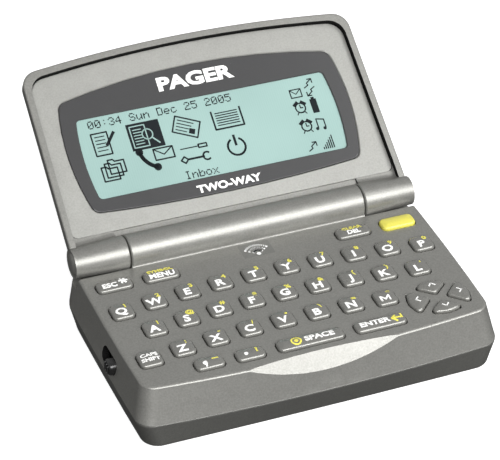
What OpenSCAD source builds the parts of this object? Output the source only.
/* [Case] */
// Width of the case at its parting line
case_w = 85.8; // [85.2:0.1:86.8]
// Height from the table to the keyboard deck
deck_z = 14.5; // [14.4:0.1:15]
// Height of the parting line between the two case halves
parting_z = 6.5; // [6.2:0.1:6.8]
// How much each side wall leans out between the deck and the parting line
wall_lean = 1.9; // [1.7:0.1:2.0]
// Thickness of the case walls
wall = 1.6; // [1.4:0.1:1.7]

/* [Hinge] */
// Radius of the hinge barrel
barrel_r = 4.0; // [3.9:0.05:4.05]
// Radius to which each knuckle tapers at its outer end
knuckle_r = 3.35; // [3.3:0.05:3.6]
// Half the length of the fixed middle barrel
barrel_half = 28.5; // [28:0.1:29]
// Where each knuckle ends and its domed cap begins
knuckle_end = 38.5; // [38.2:0.1:38.8]
// Angle between the keyboard and the lid when it is open
open_angle = 146.6; // [140:0.1:150]

/* [Lid] */
// Height of the lid from the hinge axis to the middle of its top edge
lid_h = 48.2; // [47:0.1:48.4]
// Thickness of the lid behind the hinge axis
lid_back = 4.4; // [4.3:0.05:4.5]
// Width of the display window
window_w = 62.4; // [58:0.2:64]
// Height of the display window
window_h = 19.5; // [18:0.1:20]

/* [Keyboard] */
// Distance between letter keys
pitch = 8.0; // [7.9:0.02:8.04]
// Width of a letter key
key_w = 5.0; // [4.6:0.1:5.2]
// Depth of a letter key
key_d = 4.9; // [4.6:0.1:5.1]
// How far the keys stand above the deck
key_rise = 1.0; // [0.8:0.1:1.2]
// How far a key moves when it is pressed
key_travel = 0.6; // [0.4:0.05:0.65]

/* [Battery] */
// Diameter of the battery cell
cell_d = 10.5; // [10.1:0.1:10.5]
// Length of the battery cell with its terminal
cell_l = 44.5; // [43.5:0.1:44.5]

/* [Hidden] */
$fn = 48;
eps = 0.01;
gap = 0.25;

// The hinge axis runs along X
axis_y = 21;
axis_z = deck_z + 1.5;
lid_tilt = 180 - open_angle;
running = 0.05;

// Case outlines at three heights: half width at the front and the back, bow of the sides,
// front edge, bow of the front, back edge, radii of the front and back corners
side_bow = 0.4;
half_w = case_w / 2 - side_bow;
DECK = [half_w - wall_lean, half_w - wall_lean + 0.2, side_bow, -22.4, 2.2, 24, 3.6, 4.5];
PARTING = [half_w - 0.1, half_w, side_bow, -25.45, 1.7, 26, 4, 9];
FOOT = [half_w - 1.4, half_w - 1.2, side_bow - 0.1, -25.75, 0.3, 25, 4, 8.5];
foot_r = 1.2;
floor_t = 1.3;
ledge_z = deck_z - 1.9;
step_y = 17;
step_z = axis_z - barrel_r - 0.3;
roof_z = deck_z - wall;
bay_roof_z = deck_z - 2.6;
corner_roof_z = deck_z - 3.9;
bay_y = 15.6;

// The lid, measured from the hinge axis: u runs up the lid, n stands out of its face
rim_n = 1.35;
rim_w = 1.6;
face_n = -0.1;
bezel_t = 1.2;
lens_t = 0.9;
lid_floor_t = 1.2;
lid_corner_u = lid_h - 2.5;
slot_half = barrel_half + 1.2;
slot_u = 5.5;
window_u = 23.15;
lens_u = 24;

// Key tops, flanges and the mat below them
flange_grow = 0.6;
flange_top = roof_z - 0.05;
flange_t = 0.8;
mat_z = 9.2;
mat_t = 0.7;
dome_r = 1.8;
dome_top = flange_top - flange_t - key_travel - 0.1;
board_t = 1.2;
board_front = -21.9;
board_z = mat_z - board_t;
board_back = 13.4;

// Fasteners
boss_r = 2.2;
front_boss_z = dome_top - 0.1;
screw_r = 0.8;
head_r = 1.5;
case_screws_at = [[-37.6, -20.8], [37.6, -20.8], [-37.6, 16.8], [37.6, 16.8]];
lid_screws_at = [[-34, 9.5], [34, 9.5], [-33.5, 39.5], [33.5, 39.5]];

// Battery bay, door and motor
cell_y = 18.95;
cell_z = floor_t + cell_d / 2 + 0.05;
door_half = 26;
door_y = 13.2;
motor_x = 26.6;
motor_y = 19;
motor_z = 5.8;
motor_r = 3;
motor_l = 5.8;

// Side switch
switch_y = -5.6;
switch_z = 9.6;
switch_l = 8;
switch_h = 3.6;
knob_l = 3.6;

LETTERS = "QWERTYUIOPASDFGHJKLZXCVBNM";
LETTER_NAMES = [for (c = LETTERS) str("key_", chr(ord(c) + 32))];
WIDE_NAMES = ["key_escape", "key_menu", "key_delete", "key_message", "key_shift",
    "key_comma", "key_period", "key_space", "key_enter"];
NAV_NAMES = ["nav_up", "nav_left", "nav_down", "nav_right"];

// ---- Outlines ----

function unit(v) = v / norm(v);

// The arc that rounds corner b between its neighbours a and c to radius r
function corner(a, b, c, r) =
    r == 0 ? [b] :
    let (
        to_a = unit(a - b),
        to_c = unit(c - b),
        half = acos(to_a * to_c) / 2,
        middle = b + unit(to_a + to_c) * r / sin(half),
        start = b + to_a * r / tan(half) - middle,
        turn = sign(to_c[0] * to_a[1] - to_c[1] * to_a[0]) * (180 - 2 * half)
    )
    [for (i = [0:4]) let (t = turn * i / 4)
        middle + [start[0] * cos(t) - start[1] * sin(t), start[0] * sin(t) + start[1] * cos(t)]];

// A closed outline with corner i rounded to radii[i]
function rounded(points, radii) =
    let (n = len(points))
    [for (i = [0:n - 1])
        each corner(points[(i + n - 1) % n], points[i], points[(i + 1) % n], radii[i])];

// Points of a shallow bow from a to b that rises by sag at its middle, without b
function bow(a, b, sag, steps) =
    let (side = unit([b[1] - a[1], a[0] - b[0]]))
    [for (i = [0:steps - 1]) let (t = i / steps) a + (b - a) * t + side * 4 * sag * t * (1 - t)];

// The corner radius for the first of a bow's points, and none for the others
function bow_radii(r, steps) = [for (i = [0:steps - 1]) i == 0 ? r : 0];

// One of the case's outlines, moved out by grow on every side
function case_outline(level, grow) =
    let (
        front_half = level[0] + grow,
        back_half = level[1] + grow,
        front = level[3] - grow,
        back = level[5] + grow,
        front_r = level[6] + grow / 2,
        back_r = level[7] + grow / 2
    )
    rounded(
        concat(bow([-front_half, front], [front_half, front], level[4], 8),
            bow([front_half, front], [back_half, back], level[2], 4),
            [[back_half, back]],
            bow([-back_half, back], [-front_half, front], level[2], 4)),
        concat(bow_radii(front_r, 8), bow_radii(front_r, 4), [back_r], bow_radii(back_r, 4)));

// The upper case's outline at height z
function upper_outline(z, grow) =
    case_outline(DECK + (PARTING - DECK) * (deck_z - z) / (deck_z - parting_z), grow);

// The lid's rim moved in by inset on every side
function lid_outline(inset, bottom) =
    let (
        low = 41 - inset,
        high = 40.2 - inset,
        top = lid_corner_u - inset
    )
    rounded(
        concat([[-low, bottom], [low, bottom]], bow([high, top], [-high, top], 2.5, 8),
            [[-high, top]]),
        concat([1.5, 1.5], bow_radii(4, 8), [4]));

// The lens: a barrel shape, a little wider at its top, moved out by grow on every side
function lens_outline(grow) =
    let (
        low = 32.4 + grow,
        high = 33.2 + grow,
        h = 13.5 + grow
    )
    rounded(
        concat(bow([-low, -h], [low, -h], 1.4, 8), bow([low, -h], [high, h], 1.8, 4),
            bow([high, h], [-high, h], 3.5, 8), bow([-high, h], [-low, -h], 1.8, 4)),
        concat(bow_radii(2.2, 8), bow_radii(2.2, 4), bow_radii(2.2, 8), bow_radii(2.2, 4)));

// ---- Building blocks ----

module slab(points, z, t = eps) {
    translate([0, 0, z])
        linear_extrude(t)
            polygon(points);
}

module box(x, y, z) {
    translate([x[0], y[0], z[0]])
        cube([x[1] - x[0], y[1] - y[0], z[1] - z[0]]);
}

module post(at, r, z) {
    translate([at[0], at[1], z[0]])
        cylinder(r = r, h = z[1] - z[0]);
}

// A cylinder along the hinge axis from x[0] to x[1]
module rod(r, x) {
    translate([x[0], axis_y, axis_z])
        rotate([0, 90, 0])
            cylinder(r = r, h = x[1] - x[0]);
}

module both_sides() {
    children();
    mirror([1, 0, 0])
        children();
}

// Moves a shape drawn in the lid's own u and n to where the open lid holds it
module on_lid() {
    translate([0, axis_y, axis_z])
        rotate([lid_tilt, 0, 0])
            children();
}

module round_rect(w, d, r) {
    square([w - 2 * r, d], center = true);
    square([w, d - 2 * r], center = true);
    for (sx = [-1, 1], sy = [-1, 1])
        translate([sx * (w / 2 - r), sy * (d / 2 - r)])
            circle(r = r);
}

// ---- Keyboard layout ----

function row_of(i) = i < 10 ? 0 : i < 19 ? 1 : 2;
function letter_x(i) =
    row_of(i) == 0 ? (i - 4.5) * pitch :
    row_of(i) == 1 ? (i - 14) * pitch * 0.98 : -28.06 + (i - 19) * pitch;
function arched(x, y) = [x, y - 0.002 * x * x];
function letter_at(i) = arched(letter_x(i), [5.6, -2.75, -11.3][row_of(i)]);

// Centre, width and depth of the keys that are not letters, in the order of WIDE_NAMES
WIDE_KEYS = [
    [[-34.4, 12.2], 8.2, 3.6],
    [[-23.4, 12.2], 8.2, 3.6],
    [[23.1, 12.2], 8.2, 3.6],
    [[34.2, 12.2], 8.2, 3.8],
    [arched(-36.0, -11.3), 5.2, 5.0],
    [[-24.6, -19.4], 6.6, 3.6],
    [[-15.3, -19.6], 6.6, 3.6],
    [[-1.3, -19.6], 15.5, 3.6],
    [[15.2, -19.6], 12, 3.6]];

NAV_AT = [31.2, -15.6];

// One petal of the direction pad: a rounded triangle that points at the pad's centre
module petal_shape(side, grow) {
    upright = side % 2 == 0;
    apex = (upright ? 1.2 : 2) - grow * 1.6;
    across = (upright ? 4.3 : 4) + grow * 1.5;
    shoulder = (upright ? 4.6 : 6.2) + grow * 0.5;
    crown = (upright ? 5.6 : 7.4) + grow;
    translate(NAV_AT)
        rotate(side * 90)
            polygon(rounded([[0, apex], [across, shoulder], [0, crown], [-across, shoulder]],
                [0.8, 0.9, 5, 0.9]));
}

module letter_shape(i, grow) {
    translate(letter_at(i))
        round_rect(key_w + 2 * grow, key_d + 2 * grow, 1.2 + grow);
}

module wide_shape(k, grow) {
    translate(WIDE_KEYS[k][0])
        round_rect(WIDE_KEYS[k][1] + 2 * grow, WIDE_KEYS[k][2] + 2 * grow, 1.2 + grow);
}

module all_key_shapes(grow) {
    for (i = [0:len(LETTERS) - 1])
        letter_shape(i, grow);
    for (k = [0:len(WIDE_KEYS) - 1])
        wide_shape(k, grow);
    for (side = [0:3])
        petal_shape(side, grow);
}

// ---- Base ----

// The outer form of the upper case: leaning walls and a softened deck edge
module upper_form() {
    hull() {
        slab(case_outline(PARTING, 0), parting_z);
        slab(upper_outline(deck_z - 0.7, 0), deck_z - 0.7);
        slab(case_outline(DECK, -0.5), deck_z - eps);
    }
}

// The outer form of the lower case: walls that draw in to a rounded bottom edge
module lower_form() {
    hull() {
        slab(case_outline(FOOT, -foot_r), 0);
        slab(case_outline(FOOT, -foot_r * 0.3), foot_r * 0.28);
        slab(case_outline(FOOT, 0), foot_r);
        slab(case_outline(PARTING, -0.2), parting_z - eps);
    }
}

// The room inside the upper case, stepped under the hinge
module upper_cavity() {
    difference() {
        hull() {
            slab(case_outline(PARTING, -wall), parting_z - eps);
            slab(upper_outline(roof_z, 0.25 - wall), roof_z - eps);
        }
        box([-60, 60], [bay_y, 60], [bay_roof_z, 20]);
        both_sides()
            box([27.6, 60], [bay_y, 60], [corner_roof_z, 20]);
    }
}

// A shallow bowl across the middle of the front edge, for the thumb that lifts the lid
module thumb_scoop() {
    scoop_r = 195;
    translate([0, DECK[3] - DECK[4] + 1.5, deck_z])
        rotate([-36.6, 0, 0])
            translate([0, -scoop_r, -20])
                cylinder(r = scoop_r, h = 40, $fn = 360);
}

module switch_slot(l, h, x) {
    translate([x[0], switch_y, switch_z])
        rotate([0, 90, 0])
            linear_extrude(x[1] - x[0])
                round_rect(h, l, h / 2 - 0.2);
}

module upper_case() {
    color([0.55, 0.545, 0.525])
    difference() {
        union() {
            difference() {
                upper_form();
                upper_cavity();
                box([-60, 60], [axis_y, 60], [ledge_z, 30]);
                both_sides()
                    box([barrel_half - 0.15, 60], [step_y, 60], [step_z, 30]);
                thumb_scoop();
            }
            for (at = case_screws_at)
                post(at, boss_r, [parting_z + 0.1, at[1] > 0 ? corner_roof_z + 0.2 : front_boss_z]);
            rod(barrel_r, [-barrel_half + 0.15, barrel_half - 0.15]);
        }
        translate([0, 0, roof_z - 1])
            linear_extrude(4)
                all_key_shapes(gap);
        rod(1.5 + running / 2, [-barrel_half - 1, -20]);
        rod(2.9, [-20 - eps, 20 + eps]);
        rod(2.6 + running / 2, [20, barrel_half + 1]);
        translate([7, 0, 0])
            flex_slot();
        switch_slot(switch_l, switch_h, [-50, -38]);
        for (at = case_screws_at)
            post(at, screw_r + 0.03, [parting_z - 1, corner_roof_z - 0.8]);
    }
}

// The way of the flexible circuit from the board's edge up into the barrel
module flex_slot() {
    rotate([90, 0, 90])
        linear_extrude(7)
            polygon([[12.5, 9.8], [14.6, 9.8], [19.4, 13.9], [18.5, 15.1]]);
}

module lower_case() {
    color([0.41, 0.41, 0.39])
    difference() {
        union() {
            difference() {
                lower_form();
                hull() {
                    slab(case_outline(FOOT, -wall - 0.8), floor_t);
                    slab(case_outline(FOOT, -wall), floor_t + 1);
                    slab(case_outline(PARTING, -wall), parting_z + 1);
                }
            }
            for (at = case_screws_at)
                post(at, boss_r, [0.5, parting_z]);
            box([-door_half - 0.8, door_half + 0.8], [door_y - 0.95, door_y - 0.15],
                [0.8, parting_z + 1.4]);
        }
        box([-door_half - 0.15, door_half + 0.15], [door_y - 0.15, 40], [-1, parting_z + 2]);
        for (at = case_screws_at) {
            post(at, screw_r + 0.15, [-1, parting_z + 1]);
            post(at, head_r + 0.2, [-1, 1.6]);
        }
    }
}

// The door takes in the middle of the back wall and the bay's floor
module battery_door() {
    color([0.39, 0.39, 0.375])
    union() {
        difference() {
            intersection() {
                lower_form();
                box([-door_half, door_half], [door_y, 40], [0, parting_z - 0.15]);
            }
            box([-door_half - 1, door_half + 1], [door_y - 1, PARTING[5] - 1.4],
                [floor_t - 0.2, parting_z + 1]);
        }
        both_sides() {
            box([door_half - 2, door_half + 1.4], [door_y + 1, door_y + 3.2], [floor_t + 0.1, floor_t + 1]);
            box([door_half - 2, door_half - 0.3], [door_y + 1, door_y + 3.2], [floor_t - 0.3, floor_t + 0.2]);
        }
    }
}

module battery_cell() {
    r = cell_d / 2;
    color([0.78, 0.62, 0.3])
        translate([-cell_l / 2, cell_y, cell_z])
            rotate([0, 90, 0])
                rotate_extrude($fn = 64)
                    polygon([[0, 0], [r - 0.6, 0], [r - 0.2, 0.4], [r, 1], [r, cell_l - 2],
                        [r - 0.2, cell_l - 1.4], [r - 0.8, cell_l - 1], [1.9, cell_l - 1],
                        [1.9, cell_l], [0, cell_l]]);
}

// A flat plate at the positive end and a coil spring's plate and cone at the negative end
module battery_contacts() {
    x = cell_l / 2;
    color([0.8, 0.8, 0.78]) {
        box([x + 0.05, x + 0.45], [cell_y - 3.5, cell_y + 3.5], [cell_z - 3.2, cell_z + 4]);
        box([-x - 2.5, -x - 2.1], [cell_y - 3.5, cell_y + 3.5], [cell_z - 3.2, cell_z + 4]);
        for (i = [0:3])
            translate([-x - 2.15 + i * 0.52, cell_y, cell_z])
                rotate([0, 90, 0])
                    difference() {
                        cylinder(r = 3.2 - i * 0.35, h = 0.54);
                        translate([0, 0, -1])
                            cylinder(r = 2.5 - i * 0.35, h = 3);
                    }
    }
}

// The printed circuit with its processor, memory, sounder and connectors soldered on
module main_board() {
    color([0.12, 0.35, 0.2])
    difference() {
        union() {
            box([-38.2, 38.2], [board_front, board_back], [board_z, board_z + board_t]);
            box([-4, 8], [-14, -2], [board_z - 1.4, board_z + eps]);
            box([-18, -8], [-10, -3], [board_z - 1.1, board_z + eps]);
            translate([-29, 4, board_z - 3.4])
                cylinder(r = 5, h = 3.4 + eps);
            box([7, 13], [10.6, 12.4], [board_z + board_t - eps, board_z + board_t + 0.9]);
            box([-36, -31], [-9, -2], [board_z - 2.2, board_z + eps]);
        }
        for (at = case_screws_at)
            post(at, boss_r + 0.4, [0, 20]);
    }
}

module radio_shield() {
    color([0.75, 0.75, 0.74])
    difference() {
        box([12, 34], [-16, 4], [board_z - 4.2, board_z - 0.02]);
        box([12.3, 33.7], [-15.7, 3.7], [board_z - 3.9, board_z + 1]);
    }
}

// A folded metal strip along the front edge of the board
module antenna() {
    color([0.8, 0.52, 0.3]) {
        box([-30, 10], [-21.5, -21.2], [board_z - 4.5, board_z - 0.02]);
        box([-30, 10], [-21.5, -18.5], [board_z - 4.8, board_z - 4.5]);
    }
}

// A silicone sheet with one dome under every key
module keypad_mat() {
    color([0.82, 0.82, 0.8])
    difference() {
        union() {
            box([-38, 38], [board_front + 0.2, board_back - 0.2], [mat_z, mat_z + mat_t]);
            for (i = [0:len(LETTERS) - 1])
                post(letter_at(i), dome_r, [mat_z, dome_top]);
            for (k = [0:len(WIDE_KEYS) - 1])
                post(WIDE_KEYS[k][0], dome_r - 0.2, [mat_z, dome_top]);
            for (side = [0:3])
                post(NAV_AT + 3.6 * [-sin(side * 90), cos(side * 90)], 1.2, [mat_z, dome_top]);
        }
        for (at = case_screws_at)
            post(at, boss_r + 0.4, [0, 20]);
        box([6.5, 13.5], [9.4, 20], [mat_z - 1, dome_top + 1]);
    }
}

module vibrator_motor() {
    color([0.7, 0.7, 0.72])
        translate([motor_x, motor_y, motor_z])
            rotate([0, 90, 0]) {
                cylinder(r = motor_r, h = motor_l);
                cylinder(r = 0.4, h = motor_l + 2.7);
            }
}

// A half disc of heavy metal on the motor's shaft
module vibrator_weight() {
    color([0.6, 0.58, 0.55])
        translate([motor_x + motor_l + 0.3, motor_y, motor_z])
            rotate([0, 90, 0])
                difference() {
                    union() {
                        cylinder(r = 1.1, h = 2.2);
                        difference() {
                            cylinder(r = 2.6, h = 2.2);
                            translate([-5, 0, -1])
                                cube([10, 10, 6]);
                        }
                    }
                    translate([0, 0, -1])
                        cylinder(r = 0.4 + running, h = 6);
                }
}

// A ribbed knob outside the wall on a flange inside it
module side_switch() {
    knob_y = switch_y - switch_l / 2 + knob_l / 2 + 0.15;
    outer_x = -DECK[1] - side_bow - wall_lean * (deck_z - switch_z) / (deck_z - parting_z);
    color([0.08, 0.08, 0.08])
    union() {
        translate([outer_x - 1, knob_y, switch_z])
            rotate([0, 90, 0])
                linear_extrude(3.6)
                    round_rect(switch_h - 0.4, knob_l, 1);
        for (dy = [-1, 0, 1])
            box([outer_x - 1.25, outer_x - 0.9], [knob_y + dy - 0.2, knob_y + dy + 0.2],
                [switch_z - 1.1, switch_z + 1.1]);
        box([outer_x + 2.5, outer_x + 3.3], [knob_y - 2.6, knob_y + 2.6],
            [switch_z - 2.1, switch_z + 2.4]);
    }
}

// A solid pin at the left and a hollow sleeve at the right, which the flexible circuit passes
module hinge_pins() {
    color([0.72, 0.72, 0.74]) {
        rod(1.5, [-36, -20.2]);
        difference() {
            rod(2.6, [20.2, 32.5]);
            rod(1.9, [20, 33]);
        }
    }
}

// A ribbon from the board into the barrel, rolled up there and led out along the hinge axis
module flex_circuit() {
    color([0.72, 0.45, 0.12]) {
        translate([7.5, 0, 0])
            rotate([90, 0, 90])
                linear_extrude(5)
                    polygon([[10.7, 10.12], [13.4, 10.12], [18.9, 14.85], [18.75, 15.05],
                        [13.3, 10.3], [10.7, 10.3]]);
        difference() {
            rod(2.5, [7.5, 19.8]);
            rod(2.2, [7, 19.3]);
            rod(1.4, [19, 20]);
        }
        difference() {
            rod(1.7, [19.5, 34]);
            rod(1.4, [19, 35]);
        }
    }
}

module screw(at, head_z, length) {
    post(at, head_r, [head_z, head_z + 0.8]);
    post(at, screw_r, [head_z + 0.7, head_z + length]);
}

module case_screws() {
    color([0.3, 0.3, 0.3])
    difference() {
        for (at = case_screws_at)
            screw(at, 0.8, 8.6);
        for (at = case_screws_at, turn = [0, 90])
            translate([at[0], at[1], 0.7])
                rotate(turn)
                    cube([1.8, 0.4, 0.9], center = true);
    }
}

// ---- Lid, drawn in its own u and n ----

module lid_form() {
    hull() {
        slab(lid_outline(0.3, 1.6), rim_n - eps);
        slab(lid_outline(0, 1.6), rim_n - 0.5);
        slab(lid_outline(0.1, 1.6), -1);
        slab(lid_outline(1.3, 1.6), -3);
        slab(lid_outline(4.5, 1.6), -lid_back);
    }
}

// The hinge axis in the lid's own frame
module lid_rod(r, x) {
    translate([x[0], 0, 0])
        rotate([0, 90, 0])
            cylinder(r = r, h = x[1] - x[0]);
}

module lid_shell() {
    ledge_n = face_n - bezel_t;
    color([0.62, 0.62, 0.6])
    on_lid()
    difference() {
        union() {
            difference() {
                lid_form();
                slab(lid_outline(rim_w, slot_u), ledge_n, 5);
                both_sides()
                    box([-5, 41 - rim_w], [0, slot_u + 5], [face_n, 3]);
                box([-slot_half, slot_half], [0, slot_u + 5], [-0.5, 3]);
                slab(lid_outline(3.4, slot_u + 1.2), -lid_back + lid_floor_t, 4);
                both_sides()
                    lid_rod(knuckle_r + 0.05, [knuckle_end - 0.5, 60]);
            }
            both_sides()
                translate([barrel_half + 0.15, 0, 0])
                    rotate([0, 90, 0])
                        cylinder(r1 = barrel_r, r2 = knuckle_r, h = knuckle_end - barrel_half - 0.15);
            for (at = lid_screws_at)
                post(at, 2, [-lid_back + 0.3, -2.6]);
        }
        lid_rod(barrel_r + 0.35, [-barrel_half - 0.15, barrel_half + 0.15]);
        lid_rod(1.5 + running, [-knuckle_end, -barrel_half]);
        lid_rod(2.6 + running, [-knuckle_end - 1, -knuckle_end + 1.7]);
        lid_rod(2.6 + running, [barrel_half, knuckle_end + 1]);
        box([29.8, 32.2], [1.6, 10], [-2.7, -1.5]);
        for (at = lid_screws_at) {
            post(at, screw_r + 0.15, [-lid_back - 1, 0]);
            post(at, head_r + 0.2, [-lid_back - 1, -lid_back + 1]);
        }
    }
}

// The plate around the lens, with four posts that take the lid's screws
module lid_bezel() {
    color([0.66, 0.66, 0.64])
    on_lid()
    difference() {
        union() {
            difference() {
                slab(lid_outline(rim_w + 0.1, slot_u + 0.05), face_n - bezel_t + 0.02, bezel_t - 0.02);
                translate([0, lens_u, 0])
                    slab(lens_outline(0.1), face_n - lens_t, 2);
                translate([0, lens_u, 0])
                    slab(lens_outline(-1), -3, 4);
            }
            for (at = lid_screws_at)
                post(at, 1.6, [-2.5, face_n - bezel_t / 2]);
        }
        for (at = lid_screws_at)
            post(at, screw_r + 0.03, [-3, face_n - 0.4]);
    }
}

module lens() {
    color([0.31, 0.31, 0.31])
        on_lid()
            translate([0, lens_u, 0])
                slab(lens_outline(0), face_n - lens_t + 0.02, lens_t - 0.04);
}

// The glass of the display, its frame, and the tail that leads to the hinge
module display() {
    color([0.67, 0.79, 0.765])
    on_lid() {
        translate([0, window_u, -2.9])
            linear_extrude(1.58)
                square([window_w + 2, window_h + 3], center = true);
        box([30, 32], [1.75, 14], [-2.3, -2.1]);
    }
}

// Domed ends of the hinge, each with a spigot that plugs its knuckle
module hinge_caps() {
    cap_l = 3.1;
    dome_r = 2.4;
    color([0.62, 0.62, 0.6])
    both_sides()
        translate([knuckle_end + 0.05, axis_y, axis_z])
            rotate([0, 90, 0])
                rotate_extrude($fn = 96) {
                    translate([0, -1.6])
                        square([2.6, 1.7]);
                    square([knuckle_r - dome_r, cap_l]);
                    square([knuckle_r, cap_l - dome_r]);
                    intersection() {
                        translate([knuckle_r - dome_r, cap_l - dome_r])
                            circle(r = dome_r);
                        square([knuckle_r, cap_l]);
                    }
                }
}

module lid_screws() {
    color([0.3, 0.3, 0.3])
    on_lid()
    difference() {
        for (at = lid_screws_at)
            screw(at, -lid_back + 0.15, 3.4);
        for (at = lid_screws_at, turn = [0, 90])
            translate([at[0], at[1], -lid_back])
                rotate(turn)
                    cube([1.8, 0.4, 0.9], center = true);
    }
}

// ---- Keys ----

// A key that its outline gives: a cap with a crowned top above a flange under the deck
module key_body(at, crown_r) {
    top = deck_z + key_rise;
    intersection() {
        translate([0, 0, flange_top - flange_t])
            linear_extrude(10)
                children(0);
        translate([at[0], at[1], top - crown_r])
            sphere(r = crown_r, $fn = 96);
    }
    translate([0, 0, flange_top - flange_t])
        linear_extrude(flange_t)
            children(1);
}

module letter_key(i) {
    color([0.51, 0.51, 0.48])
        key_body(letter_at(i), 18) {
            letter_shape(i, 0);
            letter_shape(i, flange_grow);
        }
}

module wide_key(k) {
    tint = WIDE_NAMES[k] == "key_message" ? [0.91, 0.88, 0.38] : [0.51, 0.51, 0.48];
    color(tint)
        key_body(WIDE_KEYS[k][0], WIDE_KEYS[k][1] * 6) {
            wide_shape(k, 0);
            wide_shape(k, flange_grow);
        }
}

module nav_key(side) {
    color([0.51, 0.51, 0.48])
        key_body(NAV_AT, 60) {
            petal_shape(side, 0);
            petal_shape(side, 0.4);
        }
}

upper_case();
lower_case();
battery_door();
battery_cell();
battery_contacts();
main_board();
radio_shield();
antenna();
keypad_mat();
vibrator_motor();
vibrator_weight();
side_switch();
hinge_pins();
flex_circuit();
case_screws();
lid_shell();
lid_bezel();
lens();
display();
hinge_caps();
lid_screws();
for (i = [0:len(LETTER_NAMES) - 1])
    letter_key(i);
for (k = [0:len(WIDE_NAMES) - 1])
    wide_key(k);
for (side = [0:3])
    nav_key(side);
